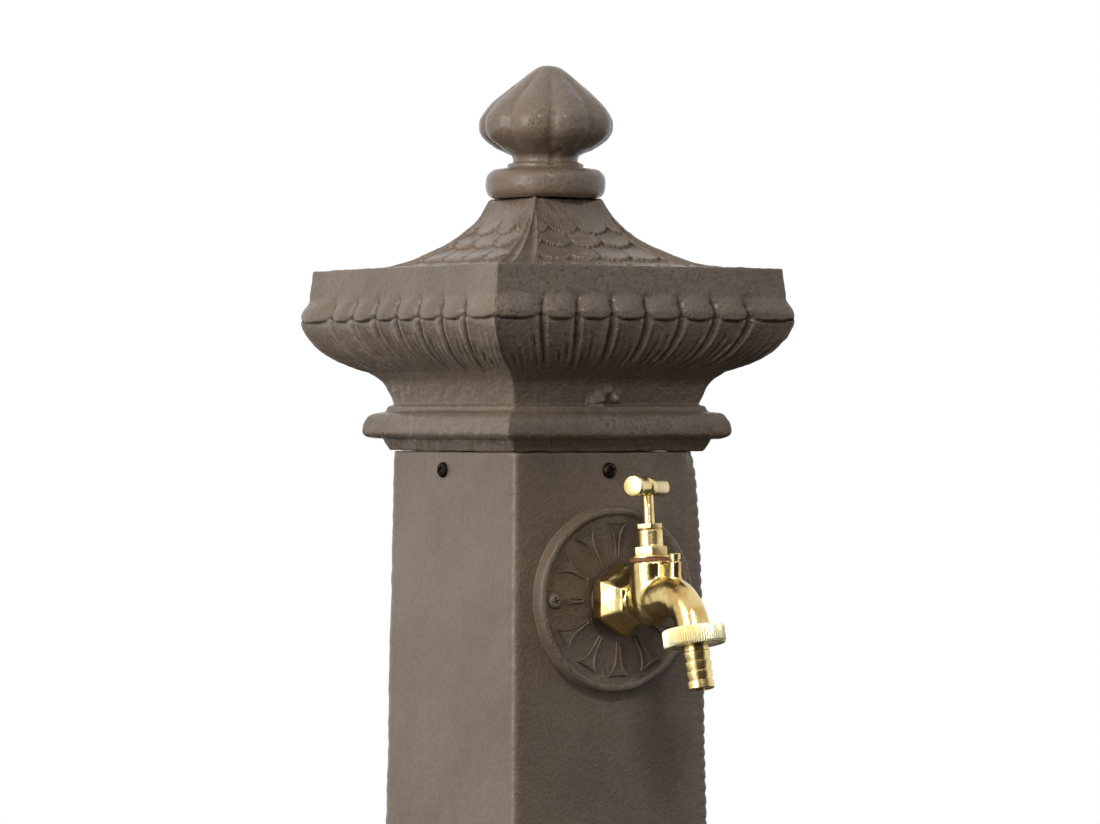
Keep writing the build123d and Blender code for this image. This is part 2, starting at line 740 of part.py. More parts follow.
def wall_elbow():
    width, height, thick = elbow_plate
    start = -shaft_wall
    plate = outward(extrude(Pos(0, 0, start - thick) * RectangleRounded(width, height, 8), thick))
    body = plate + outward(rod(elbow_radius, riser_setback - shaft_wall + elbow_radius * 0.6,
                               -riser_setback - elbow_radius * 0.6))
    body = front_face(inlet_height) * body
    body += Pos(0, riser_y, inlet_height - elbow_leg) * rod(elbow_leg_radius, elbow_leg)
    bore = outward(rod(inlet_radius + thread_gap, riser_setback - elbow_stop, elbow_stop - riser_setback)
                   + rod(elbow_passage, riser_setback + elbow_stop, -riser_setback - elbow_stop))
    body -= front_face(inlet_height) * bore
    body -= Pos(0, riser_y, inlet_height - elbow_leg) * (
        rod(riser_radius + thread_gap, elbow_socket + 1, -1) + rod(riser_radius - riser_wall, elbow_leg))
    body -= [place * rod(screw_radius + 0.3, 3 * thick, -2 * thick) for place in elbow_screw_places()]
    return body


def riser_pipe():
    pipe = ring(riser_radius, riser_radius - riser_wall, riser_top - riser_foot)
    return Pos(0, riser_y, riser_foot) * pipe


def supply_fitting():
    seat = bridge_bottom + bridge_thick
    foot = bridge_bottom - locknut_height - supply_thread_length
    body = rod(supply_thread_radius, seat - foot, foot)
    body += rod(supply_collar_radius, supply_collar, seat)
    body += rod(elbow_leg_radius, supply_socket, seat)
    body -= ring(supply_thread_radius + 1, supply_groove_radius, supply_groove, foot + supply_thread_length)
    body -= rod(riser_radius - riser_wall, supply_socket + seat, foot - 1)
    body -= rod(riser_radius + thread_gap, supply_socket + seat, riser_foot)
    return Pos(0, riser_y, 0) * body


def supply_locknut():
    nut = hexagon(locknut_radius, locknut_height)
    nut -= rod(supply_thread_radius + thread_gap, locknut_height + 2, -1)
    return Pos(0, riser_y, bridge_bottom - locknut_height) * nut


def screw_group(places, length):
    return Compound(children=[place * pan_screw(length) for place in places])


pieces = {
    "base_plinth": base_plinth(),
    "column_shaft": column_shaft(),
    "cap_casting": cap_casting(),
    "finial": finial(),
    "finial_stud": finial_stud(),
    "finial_washer": finial_washer(),
    "finial_nut": finial_nut(),
    "cap_screws": screw_group(cap_screw_places, screw_length),
    "base_screws": screw_group(base_screw_places, screw_length),
    "tap_rosette": tap_rosette(),
    "rosette_screws": screw_group(rosette_screw_places(), rosette_field + shaft_wall - 0.5),
    "wall_elbow": wall_elbow(),
    "elbow_screws": screw_group(elbow_screw_places(), elbow_plate[2] + shaft_wall - 0.5),
    "riser_pipe": riser_pipe(),
    "supply_fitting": supply_fitting(),
    "supply_locknut": supply_locknut(),
    "inlet_seal": inlet_seal(),
    "tap_body": tap_body(),
    "spout_plug": spout_plug(),
    "bonnet_gasket": bonnet_gasket(),
    "bonnet": bonnet(),
    "gland_packing": gland_packing(),
    "gland_nut": gland_nut(),
    "spindle": spindle(),
    "handle_bar": handle_bar(),
    "handle_pin": handle_pin(),
    "jumper_valve": jumper_valve(),
    "tap_washer": tap_washer(),
    "washer_nut": washer_nut(),
    "outlet_washer": outlet_washer(),
    "hose_tail": hose_tail(),
    "union_nut": union_nut(),
}

os.makedirs("parts", exist_ok=True)
for name, solid in pieces.items():
    export_step(solid, f"parts/{name}.step")
    print(name, "volume", round(solid.volume, 1))
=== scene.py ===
# %% [markdown]
# # A garden standpipe, dressed
#
# The object is a square cast-iron post with a heavy gadrooned cap, a bud finial and a polished
# brass bib tap. The CAD model already holds every piece at its true size and place. This lesson
# loads that model as a fixed frame, builds finer castings over it where the eye looks, and gives
# every surface a procedural finish. All of it is in metres, in the same frame as the CAD.

# %% Load the frame
import json
import math

import bmesh
import bpy
from mathutils import Matrix, Vector, noise


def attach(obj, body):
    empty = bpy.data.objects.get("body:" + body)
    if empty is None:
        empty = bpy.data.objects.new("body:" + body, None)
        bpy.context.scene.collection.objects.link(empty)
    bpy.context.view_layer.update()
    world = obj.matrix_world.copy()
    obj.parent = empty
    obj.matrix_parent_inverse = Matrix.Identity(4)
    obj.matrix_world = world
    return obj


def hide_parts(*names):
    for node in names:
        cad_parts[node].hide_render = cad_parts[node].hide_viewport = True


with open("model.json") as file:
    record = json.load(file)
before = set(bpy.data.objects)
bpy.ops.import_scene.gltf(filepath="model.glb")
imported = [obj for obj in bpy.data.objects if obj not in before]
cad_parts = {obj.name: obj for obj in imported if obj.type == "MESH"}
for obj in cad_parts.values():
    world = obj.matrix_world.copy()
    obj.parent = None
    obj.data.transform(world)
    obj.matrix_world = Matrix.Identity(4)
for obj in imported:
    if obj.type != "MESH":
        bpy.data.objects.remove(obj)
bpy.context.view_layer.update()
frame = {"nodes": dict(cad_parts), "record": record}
MM = 0.001

# %% [markdown]
# ## The camera
#
# The photograph was taken level, a little below the cap, from 34 degrees round to the tap's left,
# with a long lens: the two faces of the post run almost parallel up the picture. A camera can be
# aimed with a constraint, but a plain rotation keeps it exactly level, so that is used here.

# %% Camera
camera_azimuth = math.radians(-34)
camera_distance = 2.5
camera_aside = 0.0025
camera_height = 0.8101
toward_camera = Vector((math.sin(camera_azimuth), -math.cos(camera_azimuth), 0))
picture_right = Vector((math.cos(camera_azimuth), math.sin(camera_azimuth), 0))
camera = bpy.data.objects.new("camera", bpy.data.cameras.new("camera"))
bpy.context.scene.collection.objects.link(camera)
camera.location = toward_camera * camera_distance + picture_right * camera_aside
camera.location.z = camera_height
camera.rotation_euler = (math.pi / 2, 0, camera_azimuth)
camera.data.sensor_width = 36
camera.data.lens = 149.24
bpy.context.scene.camera = camera
print("camera at", [round(v, 4) for v in camera.location])

# %% [markdown]
# ## Shader arithmetic
#
# A finish is mostly arithmetic on textures: more wear here, less shine there. Wiring each Math
# node by hand hides that arithmetic, so one small class wraps a socket and lets Python's own
# operators add the nodes. Any other node comes from its `node` method.

# %% A wire that can be calculated with
ATTRIBUTE_VALUE = 2                                         # output of an Attribute node
MIX_FACTOR, MIX_FIRST, MIX_SECOND, MIX_RESULT = 0, 6, 7, 2  # sockets of a Mix node for colours


class Wire:
    """One output of a shader node. Arithmetic on it adds Math nodes."""

    def __init__(self, tree, socket):
        self.tree = tree
        self.socket = socket

    def node(self, kind, values=(), output=0, **settings):
        """Adds a node: its settings first, then the values or links of its sockets."""
        made = self.tree.nodes.new(kind)
        for name, setting in settings.items():
            setattr(made, name, setting)
        for name, value in dict(values).items():
            if isinstance(value, Wire):
                self.tree.links.new(value.socket, made.inputs[name])
            else:
                made.inputs[name].default_value = value
        return Wire(self.tree, made.outputs[output])

    def math(self, operation, first, second):
        return self.node("ShaderNodeMath", {0: first, 1: second}, operation=operation)

    def __add__(self, other):
        return self.math("ADD", self, other)

    def __sub__(self, other):
        return self.math("SUBTRACT", self, other)

    def __mul__(self, other):
        return self.math("MULTIPLY", self, other)

    def __rsub__(self, other):
        return self.math("SUBTRACT", other, self)

    def between(self, low, high):
        """0 below low, 1 above high, and a soft step between."""
        return self.node("ShaderNodeMapRange", {"Value": self, "From Min": low, "From Max": high},
                         interpolation_type="SMOOTHSTEP")

    def noise(self, scale, detail=4.0, roughness=0.55):
        """Cloudy values about 0.5, read at this vector."""
        return self.node("ShaderNodeTexNoise", {"Vector": self, "Scale": scale, "Detail": detail,
                                                "Roughness": roughness})

    def attribute(self, name):
        """A value stored on each point of a piece, 0 where a piece has none."""
        return self.node("ShaderNodeAttribute", output=ATTRIBUTE_VALUE, attribute_name=name)

    def mixed(self, first, second):
        """One colour turning into another as this value goes from 0 to 1."""
        return self.node("ShaderNodeMix", {MIX_FACTOR: self, MIX_FIRST: first, MIX_SECOND: second},
                         output=MIX_RESULT, data_type="RGBA", clamp_factor=True)

    def bump(self, distance=1.0, strength=1.0):
        """A normal for a surface that rises with this value, by so many metres for 1."""
        return self.node("ShaderNodeBump", {"Strength": strength, "Distance": distance,
                                            "Height": self})


def feed(shader, **links):
    """Links wires to sockets of a shader. Underscores stand for the spaces in a socket's name."""
    for name, wire in links.items():
        wire.tree.links.new(wire.socket, shader.inputs[name.replace("_", " ")])


def new_finish(name):
    """A material, its main shader and a wire that carries object coordinates."""
    made = bpy.data.materials.new(name)
    made.use_nodes = True
    tree = made.node_tree
    place = Wire(tree, tree.nodes.new("ShaderNodeTexCoord").outputs["Object"])
    return made, tree.nodes["Principled BSDF"], place


print("shader helpers ready")

# %% [markdown]
# ## Painted iron
#
# The post is sand-cast iron under one coat of taupe paint. The coat follows every grain of the
# mould, so the surface has wrinkles, low lumps and a satin shine that breaks up into sparks. Noises
# of three sizes give those scales, and the pits are drawn darker as painted shade. Where the
# casting is hollow the paint is thick and dull, and its colour is darkened there as painted shade;
# on sharp ridges it is drawn lighter, partly rubbed paint and partly painted highlight. Each piece
# stores how hollow it is at every point. The front of each casting came out of the mould rougher
# than its sides, so that is stored as well.

# %% Painted iron


def colour(red, green, blue):
    """A colour for a shader, from the usual 0 to 255 values."""
    return tuple((v / 255) ** 2.2 for v in (red, green, blue)) + (1,)


def painted_iron(name, pitting, grain_depth, shine):
    """Taupe paint over a casting: how pitted, how deep the grain in metres, how rough the shine."""
    made, shader, place = new_finish(name)
    hollow = place.attribute("hollow")
    front = place.attribute("front")
    patches = place.noise(16, 3)
    wrinkle = place.noise(430, 5, 0.62)
    grain = place.noise(1500, 3, 0.6)
    pits = wrinkle.between(0.47, 0.33) * patches.between(0.6 - pitting, 0.72 - pitting)
    tone = (patches * 0.6 + wrinkle * 0.4).between(0.3, 0.7)
    tone = tone.mixed(colour(114, 97, 82), colour(138, 120, 103))
    # Pits are drawn darker, more so on the front faces: painted shade in them.
    tone = (pits * (front * 0.15 + 0.1)).mixed(tone, colour(62, 51, 44))
    # Painted shade: the colour is darkened where the surface is hollow.
    tone = (hollow.between(0.03, 0.2) * 0.6).mixed(tone, colour(48, 39, 33))
    # Sharp ridges are drawn lighter: partly rubbed paint, partly painted highlight.
    tone = ((-0.03 - hollow).between(0.0, 0.14) * 0.5).mixed(tone, colour(165, 148, 132))
    height = wrinkle + grain * 0.5 - pits * 0.2
    depth = (front * 0.9 + 0.4) * grain_depth
    roughness = grain * 0.3 + hollow.between(0.0, 0.2) * 0.3 + (shine - 0.15)
    feed(shader, Base_Color=tone, Roughness=roughness, Normal=(height * depth).bump())
    shader.inputs["Specular IOR Level"].default_value = 0.35
    shader.inputs["Coat Weight"].default_value = 0.3
    shader.inputs["Coat Roughness"].default_value = 0.2
    return made


iron_smooth = painted_iron("iron_smooth", pitting=0.02, grain_depth=0.0006, shine=0.34)
iron_rough = painted_iron("iron_rough", pitting=0.1, grain_depth=0.0009, shine=0.27)
print("finishes:", iron_smooth.name, iron_rough.name)

# %% [markdown]
# ## Metals
#
# The tap is cast and turned brass, polished by hand, so its shine wanders a little and it is
# browner where the mop didn't reach. Machined brass, blackened and zinc-plated steel and copper
# are the same idea with other numbers, so one function makes them all.

# %% Metals


def metal(name, bright, dull, rough, wander, ripple, scale=60.0):
    """A metal: clean and tarnished colours, base roughness, its variation, and bump in metres."""
    made, shader, place = new_finish(name)
    cloud = place.noise(scale, 4)
    fine = place.noise(scale * 14, 3)
    tone = cloud.between(0.38, 0.72).mixed(bright, dull)
    tone = (place.attribute("hollow").between(0.03, 0.25) * 0.8).mixed(tone, colour(84, 60, 30))
    roughness = cloud * wander + fine * (wander * 0.5) + rough
    feed(shader, Base_Color=tone, Roughness=roughness, Normal=(cloud + fine * 0.25).bump(ripple))
    shader.inputs["Metallic"].default_value = 1.0
    return made


brass = metal("polished_brass", colour(226, 204, 142), colour(196, 160, 96),
              rough=0.08, wander=0.14, ripple=0.0004)
turned_brass = metal("turned_brass", colour(234, 212, 150), colour(206, 176, 112),
                     rough=0.12, wander=0.2, ripple=0.0002, scale=140.0)
pale_brass = metal("pale_brass", colour(250, 242, 204), colour(238, 224, 174),
                   rough=0.3, wander=0.2, ripple=0.0002, scale=140.0)
rough_brass = metal("rough_brass", colour(196, 166, 100), colour(150, 118, 62),
                    rough=0.28, wander=0.3, ripple=0.0006)
black_steel = metal("black_steel", colour(62, 54, 48), colour(34, 30, 28),
                    rough=0.26, wander=0.3, ripple=0.0004, scale=240.0)
zinc_steel = metal("zinc_steel", colour(190, 194, 196), colour(150, 152, 152),
                   rough=0.25, wander=0.3, ripple=0.0002, scale=200.0)
copper = metal("copper", colour(214, 140, 106), colour(160, 92, 66),
               rough=0.2, wander=0.3, ripple=0.0003)
print("metals:", [made.name for made in (brass, turned_brass, pale_brass, rough_brass, black_steel,
                                         zinc_steel, copper)])

# %% [markdown]
# ## Seals
#
# The fibre washers are pressed red-brown board, and the rubber ones are dull black. Neither is a
# metal, so they get their own function: speckled colour, high roughness and a fine nap.

# %% Seals


def pressed(name, light, dark, rough):
    """A seal's material: its two colours and its base roughness."""
    made, shader, place = new_finish(name)
    speckle = place.noise(900, 4, 0.7)
    feed(shader, Base_Color=speckle.between(0.35, 0.65).mixed(dark, light),
         Roughness=speckle * 0.2 + rough, Normal=speckle.bump(0.0002, 0.6))
    return made


fibre = pressed("copper_fibre", colour(172, 116, 84), colour(132, 84, 58), 0.45)
rubber = pressed("rubber_seal", colour(46, 46, 48), colour(26, 26, 28), 0.6)
print("seals:", fibre.name, rubber.name)

# %% [markdown]
# ## Dress the CAD nodes
#
# Most small pieces are right as they come from CAD and only need a finish. Their material slots
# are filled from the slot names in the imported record, so that each node shows what it is made of.

# %% Finishes for the carried-over nodes
finish_of_slot = {
    "painted_iron": iron_rough, "polished_brass": brass, "rough_brass": rough_brass,
    "black_steel": black_steel, "zinc_steel": zinc_steel, "copper": copper,
    "copper_fibre": fibre, "rubber_seal": rubber,
}
for subpart in frame["record"]["subparts"]:
    mesh = frame["nodes"][subpart["node"]].data
    mesh.materials.clear()
    mesh.materials.append(finish_of_slot[subpart["material_slot"]])

# %% [markdown]
# ## From a bmesh to a piece
#
# Every new piece ends the same way: doubles merged, normals made to point out, the hollows stored
# for the materials, edges sharper than an angle left crisp and the rest shaded smooth. Then it is
# told which body it rides on and which CAD node it stands for.

# %% Finishing a piece


def store_hollows(bm):
    """Stores on each point how hollow the surface is there, and how much it faces the front."""
    hollow = bm.verts.layers.float.new("hollow")
    front = bm.verts.layers.float.new("front")
    bm.normal_update()
    for vert in bm.verts:
        around = [edge.other_vert(vert).co - vert.co for edge in vert.link_edges]
        span = sum(step.length for step in around)
        vert[hollow] = sum(around, Vector()).dot(vert.normal) / max(span, 1e-9)
        vert[front] = min(max(-vert.normal.y * 2 - 0.6, 0.0), 1.0)
    for _ in range(2):
        soft = {vert: sum(edge.other_vert(vert)[hollow] for edge in vert.link_edges)
                / max(len(vert.link_edges), 1) for vert in bm.verts}
        for vert, value in soft.items():
            vert[hollow] = (vert[hollow] + value) / 2


def new_object(name, bm):
    """An object in the scene with a bmesh as its mesh. The bmesh is used up."""
    mesh = bpy.data.meshes.new(name)
    bm.to_mesh(mesh)
    bm.free()
    made = bpy.data.objects.new(name, mesh)
    bpy.context.scene.collection.objects.link(made)
    return made


def as_piece(name, bm, finish, body, nodes, crisp):
    """A visible piece. Edges sharper than `crisp` degrees stay sharp."""
    bmesh.ops.remove_doubles(bm, verts=bm.verts, dist=1e-6)
    bmesh.ops.recalc_face_normals(bm, faces=bm.faces)
    store_hollows(bm)
    piece = new_object(name, bm)
    piece.data.shade_smooth()
    piece.data.set_sharp_from_angle(angle=math.radians(crisp))
    piece.data.materials.append(finish)
    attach(piece, body)
    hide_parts(*nodes)
    print(name, "faces", len(piece.data.polygons))


# %% [markdown]
# ## A square casting
#
# The cap and the post are square in plan, with the same outline carried round four sides. One
# side is a grid whose rows follow the outline from top to bottom. A relief function says how far
# each point stands out. Three turned copies close the square, and at the corners the columns run
# round a small radius, so the sides weld together exactly.

# %% Square castings
FLAT_SHARE = 0.955      # share of the columns on the flat of a side, the rest round its corners


def even_steps(points, spacing):
    """Points at an even spacing along straight lines through the given ones."""
    steps = [points[0]]
    for start, end in zip(points, points[1:]):
        count = max(1, round(math.dist(start, end) / spacing))
        for k in range(1, count + 1):
            steps.append(tuple(a + (b - a) * k / count for a, b in zip(start, end)))
    return steps


def smooth_line(points, spacing):
    """The same along a smooth line through the points."""
    ends = [points[0], *points, points[-1]]
    line = [points[0]]
    for a, b, c, d in zip(ends, ends[1:], ends[2:], ends[3:]):
        for t in (0.25, 0.5, 0.75, 1.0):
            line.append(tuple(0.5 * (2 * q + (r - p) * t + (2 * p - 5 * q + 4 * r - s) * t * t
                                     + (3 * q - p - 3 * r + s) * t ** 3)
                              for p, q, r, s in zip(a, b, c, d)))
    return even_steps(line, spacing)


def joined(*runs):
    """One outline from runs that share their end points."""
    line = list(runs[0])
    for run in runs[1:]:
        line += run[1:]
    return line


def outward_tilts(rows):
    """For each row, the outline's outward direction as (sideways, up)."""
    tilts = []
    for index in range(len(rows)):
        before, after = rows[max(index - 1, 0)], rows[min(index + 1, len(rows) - 1)]
        along = Vector((after[0] - before[0], after[1] - before[1])).normalized()
        tilts.append((-along.y, along.x))
    return tilts


def square_casting(rows, columns, corner, relief):
    """Four sides from an outline in millimetres, top first. relief(across, share, row) is in mm."""
    bm = bmesh.new()
    last = len(rows) - 1
    bmesh.ops.create_grid(bm, x_segments=columns, y_segments=last, size=1)
    tilts = outward_tilts(rows)
    for vert in bm.verts:
        index = round((1 - vert.co.y) / 2 * last)
        half, height = rows[index]
        side = math.copysign(1, vert.co.x)
        share = abs(vert.co.x)
        flat = half - corner
        turn = max(0.0, share - FLAT_SHARE) / (1 - FLAT_SHARE) * math.pi / 4
        across = side * (min(share / FLAT_SHARE, 1) * flat + corner * math.sin(turn))
        out = flat + corner * math.cos(turn)
        lift = relief(across, across / half, index)
        tilt_out, tilt_up = tilts[index]
        vert.co = Vector((across + side * math.sin(turn) * tilt_out * lift,
                          -out - math.cos(turn) * tilt_out * lift,
                          height + tilt_up * lift)) * MM
    side_geom = bm.verts[:] + bm.edges[:] + bm.faces[:]
    for quarter in range(1, 4):
        copy = bmesh.ops.duplicate(bm, geom=side_geom)["geom"]
        bmesh.ops.rotate(bm, verts=[g for g in copy if isinstance(g, bmesh.types.BMVert)],
                         cent=(0, 0, 0), matrix=Matrix.Rotation(quarter * math.pi / 2, 3, "Z"))
    bmesh.ops.remove_doubles(bm, verts=bm.verts, dist=2e-5)
    rim = [edge for edge in bm.edges if edge.is_boundary]
    bmesh.ops.holes_fill(bm, edges=rim, sides=0)
    bmesh.ops.recalc_face_normals(bm, faces=bm.faces)
    return bm


def roughen(bm, *layers):
    """Moves every point along its normal by noises of (feature size, depth) in millimetres."""
    bm.normal_update()
    moves = [(vert, vert.normal * sum(depth * MM * noise.noise(vert.co / (size * MM))
                                      for size, depth in layers)) for vert in bm.verts]
    for vert, move in moves:
        vert.co += move


def dab(bm, centre, radius, height):
    """Pushes a small lump out of a surface round a point, all in millimetres."""
    bm.normal_update()
    middle = Vector(centre) * MM
    for vert in bm.verts:
        reach = (vert.co - middle).length / (radius * MM)
        if reach < 1:
            vert.co += vert.normal * height * MM * (1 - reach * reach) ** 2


print("square casting helpers ready")

# %% [markdown]
# ## The cap's roof
#
# The roof sweeps up in a hollow curve to the finial. Its sides are cast with four rows of
# scales like roof tiles, each row set half a scale aside, and each corner has a fluted hip between
# two thin ribs. Cutting scales one by one would leave seams, so a relief function lays them on
# the grid: for each point it finds the topmost scale that covers it, and how near its lip is.

# %% Roof of the cap
roof_rows = joined(
    even_steps([(17.0, 926.1), (21.6, 926.1), (22.4, 925.4)], 1.2),
    smooth_line([(22.4, 925.4), (24.6, 919.8), (27.9, 914.0), (33.0, 907.9), (38.1, 902.9),
                 (50.2, 894.7), (60.0, 890.3), (70.0, 887.9)], 0.85),
    even_steps([(70.0, 887.9), (70.0, 884.5)], 1.8))
slope_at = [0.0]
for (x0, z0), (x1, z1) in zip(roof_rows, roof_rows[1:]):
    slope_at.append(slope_at[-1] + math.hypot(x1 - x0, z1 - z0))
slope_start = slope_at[sum(1 for half, height in roof_rows if half < 22.4)]
scale_edges = (22.5, 34.3, 49.9, 64.6)      # lower edge of each row, down the slope from the top
scale_width = 19.5
scale_sag = 7.5                             # how far a scale's lip bows down
hip_width = 15.4                            # of the flute at the roof's foot


def bump_at(distance, width):
    """A smooth ridge, 1 in the middle."""
    return math.exp(-(distance / width) ** 2)


def smooth_step(value, low, high):
    """0 at low and 1 at high, or the other way round when low is the larger."""
    t = min(max((value - low) / (high - low), 0.0), 1.0)
    return t * t * (3 - 2 * t)


def roof_relief(across, share, row):
    """Scales on the roof's sides, and two ribs with a flute between them at its hips."""
    half = roof_rows[row][0]
    down = slope_at[row] - slope_start
    from_corner = half - abs(across)
    flute = hip_width * max(down, 0) / scale_edges[-1]
    hip = 0.9 * bump_at(from_corner, 1.3)
    if flute > 1:
        hip += 1.0 * bump_at(from_corner - flute, 1.0) * smooth_step(down, 4, 16)
    if from_corner < flute:
        return hip - 1.3 * math.sin(math.pi * from_corner / flute) * smooth_step(down, 4, 20)
    scales = 0.0
    for number, edge in enumerate(scale_edges):
        offset = (across + (0.5 if number % 2 else 0.0) * scale_width) / scale_width
        aside = (offset - math.floor(offset) - 0.5) * 2
        lip = edge - scale_sag * (1 - math.sqrt(max(0.0, 1 - aside * aside)))
        behind = lip - down
        if behind >= 0:
            rim = bump_at(behind - 0.8, 0.8)
            scales = 1.1 - 0.085 * behind + 0.6 * rim
            scales -= 0.8 * bump_at((1 - abs(aside)) * scale_width / 2, 0.7)
            break
    ease = smooth_step(down, 9, 15) * smooth_step(from_corner - flute, 0.5, 2.5)
    return hip + max(scales, -0.4) * ease * (1 - smooth_step(down, 63, 65))


roof = square_casting(roof_rows, columns=190, corner=0.9, relief=roof_relief)
roughen(roof, (22, 0.5), (5, 0.25), (2.2, 0.16))
as_piece("cap_roof", roof, iron_smooth, "root", ["cap_casting"], crisp=60)

# %% [markdown]
# ## The cap's gadroons
#
# Below the flat band the cap swells into gadroons: six lobes and two wide corner leaves a side,
# with sharp notches between. The roll above the edge line and the leaf below it share the notches.
# Fine veins run down each leaf and fade where the ogee meets the cove.

# %% Band, gadroons, cove and neck ring
notches = (0.0, 0.228, 0.455, 0.683, 1.03)      # shares of the half width
edge_line = 861.6
leaf_foot = 831.0
veins_per_leaf = 4
skirt_rows = joined(
    even_steps([(66.0, 888.0), (92.3, 888.0)], 3.4),
    even_steps([(92.3, 888.0), (92.9, 887.8), (93.1, 887.2)], 0.4),
    even_steps([(93.1, 887.2), (94.7, 871.4)], 1.25),
    smooth_line([(94.7, 871.4), (95.9, 869.3), (97.3, 866.6), (98.3, 863.6), (98.35, 861.6),
                 (98.1, 858.8), (97.2, 855.4), (94.5, 849.5), (90.0, 843.3), (83.3, 837.7),
                 (77.0, 834.3), (70.7, 831.5)], 0.82),
    smooth_line([(70.7, 831.5), (65.5, 826.9), (62.6, 820.7), (60.6, 814.6)], 1.1),
    smooth_line([(60.6, 814.6), (61.2, 813.8), (62.9, 813.2), (63.8, 810.8), (65.6, 809.9)], 0.7),
    smooth_line([(65.6, 809.9), (69.7, 808.8), (72.2, 804.9), (73.2, 800.6), (72.6, 797.6),
                 (69.6, 795.8), (65.2, 795.4)], 0.85),
    even_steps([(65.2, 795.4), (64.9, 794.6), (62.7, 790.0)], 0.9),
    even_steps([(62.7, 790.0), (62.0, 789.0), (58.0, 789.0)], 1.5))


def gadroon_relief(across, share, row):
    """Lobes above the edge line, veined leaves below it, and combed lines on the neck ring."""
    half, height = skirt_rows[row]
    if 798 < height < 808.5 and half > 66:
        comb = math.sin(across * 3.4 + 1.5 * math.sin(across / 7))
        return 0.16 * comb * bump_at(height - 804.5, 2.0)
    if height > 874 or height < leaf_foot - 1 or half < 70:
        return 0.0
    span = abs(share)
    leaf = next(k for k in range(4) if span < notches[k + 1] or k == 3)
    low, high = notches[leaf], notches[leaf + 1]
    phase = min(max((span - low) / (high - low), 0.0), 1.0)
    width = (high - low) * half
    from_notch = min(phase, 1 - phase) * width
    crest = (4 * phase * (1 - phase)) ** 0.5
    line = edge_line + 0.6 - 3.2 * crest + 0.5 * noise.noise(Vector((across / 5, 0, 3)))
    if height > line:
        roll = smooth_step(height, 874.0, 867.5)
        lift = 0.9 * roll - 4.3 * roll * (1 - crest) ** 0.9
        return lift - 0.5 * bump_at(height - line - 0.4, 0.5)
    down_leaf = min(max((line - height) / (line - leaf_foot), 0.0), 1.0)
    fade = (1 - down_leaf) ** 0.6
    lift = -0.9 * fade - 3.0 * fade * bump_at(from_notch, 1.7)
    lift += 0.75 * fade * bump_at(from_notch - 3.4, 1.0)
    lift -= 0.8 * fade * math.sin(math.pi * phase)
    wander = noise.noise(Vector((across / 7, height / 12, leaf)))
    stripe = abs(math.sin(math.pi * (veins_per_leaf + 2 * (leaf == 3)) * (phase + 0.04 * wander)))
    strength = smooth_step(height, line - 3, line - 15) * min(1.0, 5 * (1 - down_leaf))
    lift -= 1.6 * strength * (1 - stripe) ** 1.5 * (0.6 + 0.8 * wander)
    return lift - 0.8 * bump_at(height - line, 0.6)


skirt = square_casting(skirt_rows, columns=146, corner=1.1, relief=gadroon_relief)
roughen(skirt, (26, 0.45), (6, 0.3), (2.4, 0.22))
for place, radius, height in (((-7.0, -61.5, 817.0), 6.5, 3.6), ((3.0, -61.8, 818.0), 5.0, 4.2),
                              ((-2.0, -63.0, 821.5), 3.4, 2.0), ((-12.0, -61.0, 815.0), 4.5, 1.8)):
    dab(skirt, place, radius, height)
as_piece("cap_skirt", skirt, iron_rough, "root", ["cap_casting"], crisp=60)

# %% [markdown]
# ## The post
#
# The post tapers very slightly. Its corners are the joints of the mould: the near one shows an
# uneven seam, and the one on the tap's right was ground back with a disc, more and more towards the
# top, which left a row of small notches. Both are made by moving the corner columns of the grid.

# %% Post
shaft_low, shaft_high = 96.0, 788.7
half_low, half_high = 72.1, 61.1
chamfer_in, chamfer_down = 0.6, 0.7         # at both ends of the post
post_rows = 450


def shaft_half(height):
    """Half the post's width at a height."""
    return half_high + (shaft_high - height) * (half_low - half_high) / (shaft_high - shaft_low)


shaft_rows = [(shaft_half(shaft_high) - chamfer_in, shaft_high)]
for k in range(post_rows + 1):
    z = shaft_high - chamfer_down - (shaft_high - shaft_low - 2 * chamfer_down) * k / post_rows
    shaft_rows.append((shaft_half(z), z))
shaft_rows.append((shaft_half(shaft_low) - chamfer_in, shaft_low))
post = square_casting(shaft_rows, columns=50, corner=2.2, relief=lambda across, share, row: 0.0)
for vert in post.verts:
    x, y, z = vert.co / MM
    half = shaft_half(z)
    toward = Vector((math.copysign(1, x), math.copysign(1, y), 0)).normalized()
    from_corner = (half - abs(x)) + (half - abs(y))
    if from_corner < 14:
        near = 1 - smooth_step(from_corner, 1.0, 12.0)
        if x > 0 and y < 0:
            ground = 4.4 * math.exp(-(shaft_high - z) / 17) + 0.35
            wave = math.sin(z / 1.05 + 0.8 * math.sin(z / 9))
            notch = 0.75 * max(0.0, wave) * bump_at(from_corner - 2.5, 3.0)
            vert.co -= toward * (ground * near + notch) * MM
        else:
            seam = 0.5 + 0.5 * noise.noise(Vector((x * 0.03, y * 0.03, z / 6)))
            vert.co -= toward * 0.9 * seam * bump_at(from_corner - 1.6, 1.3) * MM
roughen(post, (60, 0.5), (11, 0.22), (4.5, 0.14))
as_piece("post_skin", post, iron_smooth, "root", ["column_shaft"], crisp=60)

# %% [markdown]
# ## The finial
#
# The bud is a nine-lobed onion on a turned neck and a fat ring, and it leans a little. It is spun
# like a lathe piece, then each point of the bud is pulled in towards the crease beside it, and a
# thin rib is left along each crease. The fillet of metal at the neck, where the bud was screwed on
# and filled, is dabbed on at the end.

# %% Lathe helper and finial


def added(bm, before):
    """The points that a bmesh has gained since a set of its points was taken."""
    return [vert for vert in bm.verts if vert not in before]


